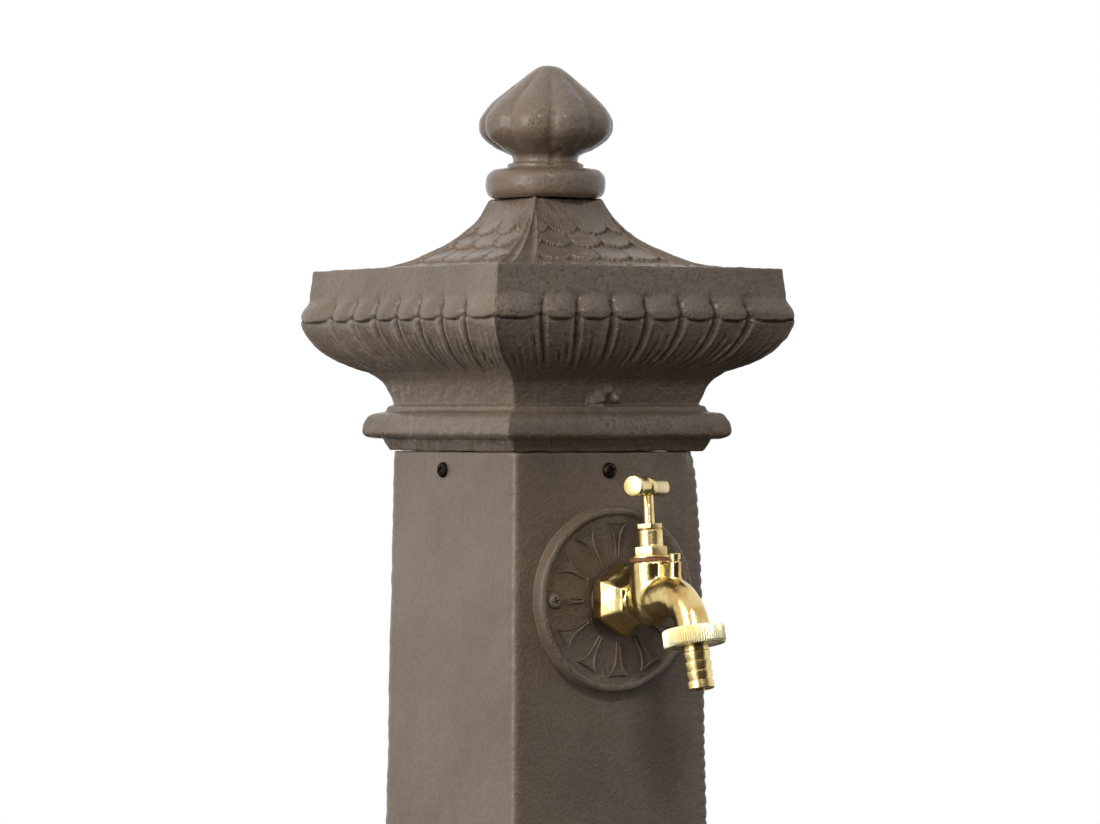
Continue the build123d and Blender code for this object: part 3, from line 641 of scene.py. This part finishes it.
def turned(bm, outline, steps, place=Matrix()):
    """Spins a (radius, height) outline in millimetres round Z, and returns the new points."""
    before = set(bm.verts)
    line = [bm.verts.new((radius * MM, 0, height * MM)) for radius, height in outline]
    edges = [bm.edges.new(pair) for pair in zip(line, line[1:])]
    bmesh.ops.spin(bm, geom=line + edges, cent=(0, 0, 0), axis=(0, 0, 1), dvec=(0, 0, 0),
                   angle=2 * math.pi, steps=steps, use_merge=True)
    bmesh.ops.remove_doubles(bm, verts=added(bm, before), dist=1e-6)
    fresh = added(bm, before)
    bmesh.ops.transform(bm, matrix=place, verts=fresh)
    return fresh


bud_bottom = 950.2
tip_limit = 0.9998              # in metres, so that the roughened tip stays in the CAD box
lobe = math.radians(360 / 9)
crease_turn = math.radians(1)
lean = math.tan(math.radians(2))
finial_line = joined(
    [(0, 926.9), (12, 926.9), (24, 926.9), (28.0, 927.1)],
    smooth_line([(28.0, 927.1), (30.9, 928.4), (32.5, 931.2), (32.9, 935.2), (32.2, 939.2),
                 (29.8, 942.0), (26.2, 943.0), (22.6, 943.4)], 0.8),
    smooth_line([(22.6, 943.4), (20.9, 943.9), (20.8, 945.0), (20.3, 946.0), (18.6, 946.3)], 0.5),
    smooth_line([(18.6, 946.3), (17.8, 947.0), (17.8, 949.0), (18.6, 950.6)], 0.6),
    smooth_line([(18.6, 950.6), (22.4, 952.4), (27.1, 954.5), (33.4, 958.7), (36.4, 962.6),
                 (37.1, 966.9), (36.2, 971.8), (31.1, 978.8), (23.7, 985.4), (14.6, 992.7),
                 (9.4, 996.6), (5.6, 998.9), (2.2, 999.9), (0, 1000.0)], 0.9))
finial = bmesh.new()
turned(finial, finial_line, steps=216)
for vert in finial.verts:
    height = vert.co.z / MM
    if height > bud_bottom:
        angle = math.atan2(vert.co.y, vert.co.x) - crease_turn
        phase = (angle / lobe) % 1
        crest = (4 * phase * (1 - phase)) ** 0.62
        ease = smooth_step(height, bud_bottom, 956) * (1 - smooth_step(height, 990, 999))
        radius = math.hypot(vert.co.x, vert.co.y) / MM
        pull = 1 - 0.11 * (1 - crest) * ease * min(1, radius / 8)
        pull += 0.02 * bump_at(min(phase, 1 - phase), 0.03) * ease
        vert.co.x *= pull
        vert.co.y *= pull
        vert.co += picture_right * lean * (height - bud_bottom) * MM
roughen(finial, (18, 0.35), (5, 0.22), (2.2, 0.12))
for degrees, height, radius, lump in ((250, 948.5, 4.5, 1.5), (258, 951.5, 3.5, 1.3),
                                      (244, 945.5, 3.5, 0.9)):
    reach = 19.5 if height < 950 else 22
    angle = math.radians(degrees)
    dab(finial, (reach * math.cos(angle), reach * math.sin(angle), height), radius, lump)
for vert in finial.verts:
    vert.co.z = min(vert.co.z, tip_limit)
as_piece("finial_bud", finial, iron_smooth, "root", ["finial"], crisp=60)

# %% [markdown]
# ## The tap's place
#
# The tap is built in its own frame, the way a fitter holds it: -Y runs straight out of the wall
# and Z up the wall. Three matrices carry pieces from there to the object: the tap's own, the
# spindle's, which leans towards the wall, and the outlet's, which points down and outwards.

# %% Frames of the tap
inlet_height = 709.6
wall_tilt = math.atan((half_low - half_high) / (shaft_high - shaft_low))
flange_out = 7.6                # the tap's flange sits on the rosette and its washer
chamber_out = 32.0
spindle_lean = -4.1
bend_angle = 78.0
bend_radius = 33.0
bend_out, bend_height = 36.0, 11.7
outlet_turn = 168


def shift(x, y, z):
    """A move in millimetres."""
    return Matrix.Translation(Vector((x, y, z)) * MM)


def turn_about(axis, degrees):
    """A turn about one axis."""
    return Matrix.Rotation(math.radians(degrees), 4, axis)


wall_place = shift(0, -shaft_half(inlet_height), inlet_height) @ Matrix.Rotation(-wall_tilt, 4, "X")
out_of_wall = wall_place @ turn_about("X", 90)
tap_place = wall_place @ shift(0, -flange_out, 0)
spindle_place = tap_place @ shift(0, -chamber_out, 0) @ turn_about("X", spindle_lean)
outlet_out = bend_out + bend_radius * math.sin(math.radians(bend_angle))
outlet_height = bend_height - bend_radius * (1 - math.cos(math.radians(bend_angle)))
outlet_place = tap_place @ shift(0, -outlet_out, outlet_height) @ turn_about("X", outlet_turn)
print("outlet at", [round(v / MM, 1) for v in outlet_place.translation])

# %% [markdown]
# ## The rosette
#
# A round plate screwed behind the tap hides the hole in the post. It has a rolled rim, a sunk
# field with a ring of trumpet-shaped ribs, and a low hub. The plate is spun. Each of the twelve
# ribs is a small extruded outline, turned into its place, with its crown inset and sunk so that a
# thin lip stands round it. Under the two screws the ribs are plain stems.

# %% Rosette
ribs = 12
rib_foot, rib_rise = 5.5, 1.9
lip_width, crown_depth = 0.42, 0.9


def faces_round(verts):
    """The faces that touch any of some points."""
    return list({face for vert in verts for face in vert.link_faces})


def rib_outline(flared):
    """A slender trumpet, from the stem's foot to the lip, or a plain stem."""
    stem = [(0.7, 22.6), (1.0, 27.0), (1.45, 31.5)]
    head = [(2.2, 35.0), (3.3, 37.4), (4.7, 39.3), (6.4, 41.0), (3.4, 40.6), (0, 40.4)]
    right = stem + (head if flared else [(0, 32.0)])
    return right + [(-x, y) for x, y in reversed(right) if x > 0]


rosette = bmesh.new()
rim_line = smooth_line([(50, 0.5), (50, 5.4), (49.2, 7.3), (47.4, 8.0), (45.8, 7.4),
                        (45.0, 6.2)], 0.7)
turned(rosette, [(0, 0), (50, 0), *rim_line, (43.5, 6.0), (24.0, 6.0), (16.6, 6.0), (16.2, 7.0),
                 (10.9, 7.0), (10.8, 3.0), (0, 3.0)], 144)
for number in range(ribs):
    before = set(rosette.verts)
    under_screw = number % 6 == 3
    points = [rosette.verts.new((x * MM, y * MM, rib_foot * MM))
              for x, y in rib_outline(flared=not under_screw)]
    face = rosette.faces.new(points)
    top = bmesh.ops.extrude_face_region(rosette, geom=[face])["geom"]
    tops = [g for g in top if isinstance(g, bmesh.types.BMVert)]
    bmesh.ops.translate(rosette, verts=tops, vec=(0, 0, rib_rise * MM))
    bmesh.ops.recalc_face_normals(rosette, faces=faces_round(added(rosette, before)))
    crown = max(faces_round(tops), key=lambda f: abs(f.normal.z) * f.calc_area())
    bmesh.ops.inset_region(rosette, faces=[crown], thickness=lip_width * MM,
                           depth=-crown_depth * MM, use_even_offset=True)
    bmesh.ops.rotate(rosette, verts=added(rosette, before), cent=(0, 0, 0),
                     matrix=Matrix.Rotation(number * 2 * math.pi / ribs, 3, "Z"))
bmesh.ops.transform(rosette, matrix=out_of_wall, verts=rosette.verts)
roughen(rosette, (14, 0.3), (4, 0.2))
as_piece("rosette_plate", rosette, iron_rough, "root", ["tap_rosette"], crisp=55)

# %% [markdown]
# ## Screw heads
#
# Pan-head screws with a cross recess hold the cap, the plinth and the rosette. Their heads are
# small domes. A square grid is drawn out to a round one, raised to a dome, and the points that lie
# in the cross are pushed down into it, with the bit's taper towards the tips of the arms.

# %% Screw heads
screw_radius, screw_rise = 4.3, 2.6
arm_reach, arm_half_width = 0.56, 0.13      # of the cross, as shares of the radius
cross_depth, cross_taper = 1.5, 0.62        # the depth runs out at this share of the radius
screw_inset = 10                            # from the ends of the post


def crossed_head(bm, place, turn):
    """Adds one screw head, its seat at the place and its dome along the place's own Z."""
    before = set(bm.verts)
    bmesh.ops.create_grid(bm, x_segments=44, y_segments=44, size=1.0)
    fresh = added(bm, before)
    for vert in fresh:
        u, v = vert.co.x, vert.co.y
        x, y = u * math.sqrt(1 - v * v / 2), v * math.sqrt(1 - u * u / 2)
        out = min(math.hypot(x, y), 1.0)
        height = screw_rise * (1 - out ** 4) ** 0.5
        span, side = max(abs(x), abs(y)), min(abs(x), abs(y))
        if span < arm_reach and side < arm_half_width:
            height -= cross_depth * (1 - (span / cross_taper) ** 2)
        vert.co = Vector((x * screw_radius, y * screw_radius, height)) * MM
    rim = [edge for edge in {e for v in fresh for e in v.link_edges} if edge.is_boundary]
    bmesh.ops.holes_fill(bm, edges=rim, sides=0)
    bmesh.ops.transform(bm, matrix=place @ turn_about("Z", turn), verts=fresh)


def face_screws(height):
    """Seats of the four screws through the faces of the post at one height."""
    seats = []
    for quarter, offset in enumerate((0, 8.0, 0, -8.0)):
        face = shift(0, -shaft_half(height), height) @ Matrix.Rotation(-wall_tilt, 4, "X")
        seats.append(turn_about("Z", 90 * quarter) @ face @ shift(offset, -0.05, 0)
                     @ turn_about("X", 90))
    return seats


for name, node, finish, slot_name, seats in (
        ("cap_screw_heads", "cap_screws", black_steel, "black_steel",
         face_screws(shaft_high - screw_inset)),
        ("base_screw_heads", "base_screws", black_steel, "black_steel",
         face_screws(shaft_low + screw_inset)),
        ("rosette_screw_heads", "rosette_screws", iron_rough, "painted_iron",
         [wall_place @ shift(x, -6.0, 0) @ turn_about("X", 90) for x in (-40.4, 40.4)])):
    heads = bmesh.new()
    for number, seat in enumerate(seats):
        crossed_head(heads, seat, 20 + 37 * number)
    as_piece(name, heads, finish, "root", [node], crisp=30)

# %% [markdown]
# ## The tap's body
#
# The body is one sand casting, filed and polished: a thick six-sided flange, a waist, a round
# chamber and a bent spout flow into each other with soft hollows. Separate solids would meet in
# hard creases, so they are built roughly, fused by a voxel remesh, and smoothed like clay. A row of
# balls gives the spout its belly, and a web of thin pillars joins the plug's boss to the chamber.

# %% Tap body


def blob(name, bm, voxel, rounds):
    """Fuses overlapping solids into one skin and smooths it. Returns a fresh bmesh."""
    bmesh.ops.recalc_face_normals(bm, faces=bm.faces)
    holder = new_object(name + "_rough", bm)
    fuse = holder.modifiers.new("fuse", "REMESH")
    fuse.mode = "VOXEL"
    fuse.voxel_size = voxel * MM
    graph = bpy.context.evaluated_depsgraph_get()
    fused = bpy.data.meshes.new_from_object(holder.evaluated_get(graph))
    clay = bmesh.new()
    clay.from_mesh(fused)
    bpy.data.objects.remove(holder)
    for _ in range(rounds):
        bmesh.ops.smooth_vert(clay, verts=clay.verts, factor=0.5, use_axis_x=True,
                              use_axis_y=True, use_axis_z=True)
    return clay


def prism(bm, corners, sizes, place, first=math.pi / 2):
    """Adds a many-sided bar from (corner radius, height) sizes, bottom first."""
    before = set(bm.verts)
    radius, height = sizes[0]
    start = bmesh.ops.create_circle(bm, cap_ends=True, segments=corners, radius=radius * MM,
                                    matrix=Matrix.Rotation(first, 4, "Z"))["verts"]
    bmesh.ops.translate(bm, verts=start, vec=(0, 0, height * MM))
    face = start[0].link_faces[0]
    for radius, height in sizes[1:]:
        grown = bmesh.ops.extrude_face_region(bm, geom=[face])["geom"]
        tops = [g for g in grown if isinstance(g, bmesh.types.BMVert)]
        old = tops[0].co.to_2d().length
        for vert in tops:
            vert.co.x *= radius * MM / old
            vert.co.y *= radius * MM / old
            vert.co.z = height * MM
        face = next(g for g in grown if isinstance(g, bmesh.types.BMFace))
    fresh = added(bm, before)
    bmesh.ops.recalc_face_normals(bm, faces=faces_round(fresh))
    bmesh.ops.transform(bm, matrix=place, verts=fresh)


def bent_tube(bm, radius, bend, angle, place):
    """Adds a round tube that leaves along -Y and bends down, by spinning its end disc."""
    before = set(bm.verts)
    disc = bmesh.ops.create_circle(bm, cap_ends=True, segments=40, radius=radius * MM,
                                   matrix=Matrix.Rotation(math.pi / 2, 4, "X"))["verts"]
    face = disc[0].link_faces[0]
    bmesh.ops.spin(bm, geom=[face, *face.edges, *face.verts], cent=(0, 0, -bend * MM),
                   axis=(1, 0, 0), dvec=(0, 0, 0), angle=math.radians(angle), steps=24,
                   use_merge=False)
    fresh = added(bm, before)
    open_edges = [e for e in {e for v in fresh for e in v.link_edges} if e.is_boundary]
    if open_edges:
        bmesh.ops.holes_fill(bm, edges=open_edges, sides=0)
    bmesh.ops.recalc_face_normals(bm, faces=faces_round(fresh))
    bmesh.ops.transform(bm, matrix=place, verts=fresh)


neck_radius = 24.0          # of the spout's bend, tighter than the CAD's plain tube
neck_out = outlet_out - neck_radius * math.sin(math.radians(bend_angle))
neck_height = outlet_height + neck_radius * (1 - math.cos(math.radians(bend_angle)))
plug_out = 52.2
body = bmesh.new()
out_of_tap = tap_place @ turn_about("X", 90)
prism(body, 6, [(19.8, 0.0), (20.0, 0.6), (20.0, 8.0), (19.2, 8.8), (16.6, 11.8), (14.4, 15.0),
                (12.6, 19.5)], out_of_tap, first=0)
turned(body, [(0, 2), (9.5, 2), (9.5, 16), (9.7, 32), (0, 32)], 48, out_of_tap)
turned(body, [(0, 20.9), (11.6, 20.9), (12.0, 20.4), (12.0, 14), (12.0, 4), (11.9, -1.0),
              (11.3, -5.5), (9.9, -9.0), (7.2, -11.6), (3.6, -13.0), (0, -13.4)], 64, spindle_place)
bent_tube(body, 8.9, neck_radius, bend_angle, tap_place @ shift(0, -neck_out, neck_height))
belly_line = smooth_line([(30.0, 0.0, 11.4), (38.0, 0.4, 11.3), (44.0, 1.8, 10.8),
                          (49.0, 2.4, 10.1), (54.0, 1.0, 9.4), (58.0, -2.0, 9.0)], 0.7)
for out, height, radius in belly_line:
    ball = bmesh.ops.create_icosphere(body, subdivisions=3, radius=radius * MM)["verts"]
    bmesh.ops.transform(body, matrix=tap_place @ shift(0, -out, height), verts=ball)
turned(body, [(0, -3), (8.9, -3), (9.2, 0), (13.1, 1.4), (13.1, 5.6), (0, 5.6)], 64, outlet_place)
turned(body, [(0, 4), (3.6, 4), (3.3, 21.6), (0, 21.6)], 32, tap_place @ shift(0, -plug_out, 0))
for out in (44.0, 46.0, 48.0, 50.0):
    turned(body, [(0, 4), (3.4, 4), (3.2, 20.2), (0, 20.2)], 32, tap_place @ shift(0, -out, 0))
body = blob("tap_casting", body, voxel=0.5, rounds=22)
roughen(body, (9, 0.18), (3.5, 0.05))
as_piece("tap_casting", body, brass, "root", ["tap_body"], crisp=80)

# %% [markdown]
# ## Turned brass
#
# The bonnet, gland nut, stem, T bar and plug came off a lathe, so their outlines are spun. The
# arrises of all but the plug are broken by a fraction of a millimetre: that thin bevel catches the
# light and is what tells a real edge from a drawn one.

# %% Bonnet, gland, stem, T bar and plug


def soften(bm, width, segments=2):
    """Rounds every edge sharper than 30 degrees, width in millimetres."""
    bm.normal_update()
    edges = [edge for edge in bm.edges
             if edge.is_manifold and edge.calc_face_angle(0) > math.radians(30)]
    bmesh.ops.bevel(bm, geom=edges, offset=width * MM, offset_type="OFFSET", affect="EDGES",
                    segments=segments, profile=0.5, material=-1, clamp_overlap=True)


bonnet = bmesh.new()
turned(bonnet, [(0, 22.3), (11.7, 22.3), (11.7, 23.4), (0, 23.4)], 96, spindle_place)
prism(bonnet, 6, [(9.8, 23.0), (9.8, 28.4)], spindle_place)
turned(bonnet, [(0, 28.0), (7.2, 28.0), (7.2, 28.9), (6.9, 29.2), (6.9, 37.0), (6.5, 37.6),
                (0, 37.6)], 80, spindle_place)
soften(bonnet, 0.3)
as_piece("bonnet_hex", bonnet, turned_brass, "root", ["bonnet"], crisp=30)

gland = bmesh.new()
turned(gland, [(0, 37.5), (6.2, 37.5), (6.2, 38.0), (7.0, 38.1), (7.0, 38.3), (0, 38.3)], 80,
       spindle_place)
prism(gland, 6, [(7.4, 38.0), (7.4, 40.6)], spindle_place)
soften(gland, 0.25)
as_piece("gland_ring", gland, turned_brass, "root", ["gland_nut"], crisp=30)

stem = bmesh.new()
turned(stem, [(0, 8.2), (4.0, 8.2), (4.0, 24.0), (3.0, 24.6), (3.0, 63.6), (2.6, 63.9),
              (0, 63.9)], 48, spindle_place)
soften(stem, 0.2)
as_piece("tap_stem", stem, turned_brass, "handle", ["spindle"], crisp=30)

bar_place = spindle_place @ shift(0, 0, 60.4) @ turn_about("Z", 29) @ turn_about("Y", -90)
bar = bmesh.new()
turned(bar, [(0, -17.5), (4.9, -17.5), (4.9, -3.4), (5.35, -2.5), (5.35, 2.5), (4.3, 3.4),
             (4.3, 12.8), (5.6, 13.5), (5.6, 17.3), (5.1, 17.5), (0, 17.5)], 64, bar_place)
soften(bar, 0.5, segments=3)
as_piece("t_bar", bar, turned_brass, "handle", ["handle_bar"], crisp=30)

plug = bmesh.new()
turned(plug, [(0, 21.4), (2.3, 21.4), (2.3, 22.0), (3.0, 22.2), (3.0, 24.9), (2.5, 25.3),
              (0, 25.3)], 40, tap_place @ shift(0, -plug_out, 0))
as_piece("plug_head", plug, turned_brass, "root", ["spout_plug"], crisp=30)

# %% [markdown]
# ## The hose union
#
# The union nut is knurled with straight teeth so that it can be turned by hand. The nut is spun
# with four steps a tooth, and its rim is drawn in by one wave of a cosine over each tooth. The tail
# below it is spun too, and has three low barbs that hold the hose.

# %% Union nut and hose tail
teeth = 74
rim_from = 16.2             # points further out than this are on the knurled rim
tooth_depth = 0.05          # as a share of the radius
nut_start = -0.7            # height of its open end on the outlet's axis
nut = bmesh.new()
nut_points = turned(nut, [(7.6, nut_start + 9.3), (15.7, nut_start + 9.3), (16.4, nut_start + 8.5),
                          (16.5, nut_start + 8.0), (16.5, nut_start + 1.2), (16.4, nut_start + 0.7),
                          (15.7, nut_start), (13.4, nut_start), (13.4, nut_start + 7.6),
                          (7.6, nut_start + 7.6), (7.6, nut_start + 9.3)], teeth * 4)
for vert in nut_points:
    radius = math.hypot(vert.co.x, vert.co.y)
    if radius > rim_from * MM:
        tooth = (math.atan2(vert.co.y, vert.co.x) / (2 * math.pi) * teeth) % 1
        vert.co.xy *= 1 - tooth_depth * (0.5 - 0.5 * math.cos(2 * math.pi * tooth))
bmesh.ops.transform(nut, matrix=outlet_place, verts=nut.verts)
as_piece("knurled_nut", nut, pale_brass, "union_nut", ["union_nut"], crisp=50)

tail = bmesh.new()
tail_line = [(5.0, 7.2), (12.0, 7.2), (12.0, 8.8), (6.95, 8.8), (6.95, 11.6)]
for barb in (11.8, 17.0, 22.2):
    tail_line += [(6.6, barb), (7.3, barb + 0.4), (7.25, barb + 1.8), (6.6, barb + 4.4),
                  (6.5, barb + 5.1)]
tail_line += [(7.25, 27.6), (7.25, 31.3), (6.8, 31.8), (5.0, 31.8), (5.0, 7.2)]
turned(tail, tail_line, 72, outlet_place)
as_piece("hose_barbs", tail, turned_brass, "tail", ["hose_tail"], crisp=35)

# %% [markdown]
# ## Studio
#
# The post stands on a pale floor under plain soft light. One large softbox on the left lights the
# side of the post, and a smaller one high in front draws the sparks on the lobes. The world is
# white to the camera, and also in reflections, so that the brass shows the white room. To light
# that bounces, the world and the floor are dim. A dark curved card stands in front, out of the
# camera's sight: the brass mirrors it, and it keeps the front face of the post dark.

# %% Floor and lights
lamp_aim = Vector((0, 0, 0.85))
card_radius, card_low, card_high = 2.0, 0.1, 1.75
card_start, card_sweep = math.radians(-50), math.radians(86)        # from the -Y axis
room_dim, room_white = 0.14, 1.0
floor_bm = bmesh.new()
bmesh.ops.create_circle(floor_bm, cap_ends=True, segments=96, radius=2.6)
floor = new_object("floor", floor_bm)
floor_finish, floor_shader, floor_place = new_finish("floor")
to_camera = floor_place.node("ShaderNodeLightPath")
floor_pale = floor_place.noise(2).mixed((0.80, 0.80, 0.79, 1), (0.84, 0.84, 0.83, 1))
feed(floor_shader, Base_Color=to_camera.mixed((0.14, 0.14, 0.14, 1), floor_pale))
floor_shader.inputs["Roughness"].default_value = 0.9
floor.data.materials.append(floor_finish)


def softbox(name, place, size, power):
    """A rectangular lamp at a place, aimed at the cap. Its power is in watts."""
    lamp = bpy.data.objects.new(name, bpy.data.lights.new(name, "AREA"))
    lamp.data.shape = "RECTANGLE"
    lamp.data.size, lamp.data.size_y = size
    lamp.data.energy = power
    lamp.location = place
    lamp.rotation_euler = (lamp_aim - Vector(place)).to_track_quat("-Z", "Y").to_euler()
    bpy.context.scene.collection.objects.link(lamp)


softbox("key_left", (-2.35, -0.5, 1.5), size=(1.2, 1.8), power=41)
softbox("front_high", (-0.8, -2.0, 2.2), size=(0.4, 0.3), power=14)

flag_bm = bmesh.new()
card_x, card_y = card_radius * math.sin(card_start), -card_radius * math.cos(card_start)
pole = [flag_bm.verts.new((card_x, card_y, z)) for z in (card_low, card_high)]
bmesh.ops.spin(flag_bm, geom=[*pole, flag_bm.edges.new(pole)], cent=(0, 0, 0), axis=(0, 0, 1),
               dvec=(0, 0, 0), angle=card_sweep, steps=24)
flag = new_object("dark_flag", flag_bm)
flag_finish, flag_shader, flag_place = new_finish("dark_flag")
card_tone = flag_place.noise(30).mixed((0.07, 0.052, 0.034, 1), (0.11, 0.085, 0.06, 1))
feed(flag_shader, Base_Color=card_tone)
flag_shader.inputs["Roughness"].default_value = 0.9
flag.data.materials.append(flag_finish)
flag.visible_camera = False

world = bpy.data.worlds.new("white_room")
world.use_nodes = True
bpy.context.scene.world = world
room = world.node_tree
rays = room.nodes.new("ShaderNodeLightPath").outputs
camera_ray, glossy_ray, through_ray = (Wire(room, rays[f"Is {kind} Ray"])
                                       for kind in ("Camera", "Glossy", "Transmission"))
seen = camera_ray + glossy_ray + through_ray
plain = seen.node("ShaderNodeBackground", {"Color": (1, 1, 1, 1), "Strength": room_dim})
white = seen.node("ShaderNodeBackground", {"Color": (1, 1, 1, 1), "Strength": room_white})
blend = seen.node("ShaderNodeMixShader", {0: seen, 1: plain, 2: white})
room.links.new(blend.socket, room.nodes["World Output"].inputs["Surface"])
bpy.context.scene.view_settings.view_transform = "Standard"
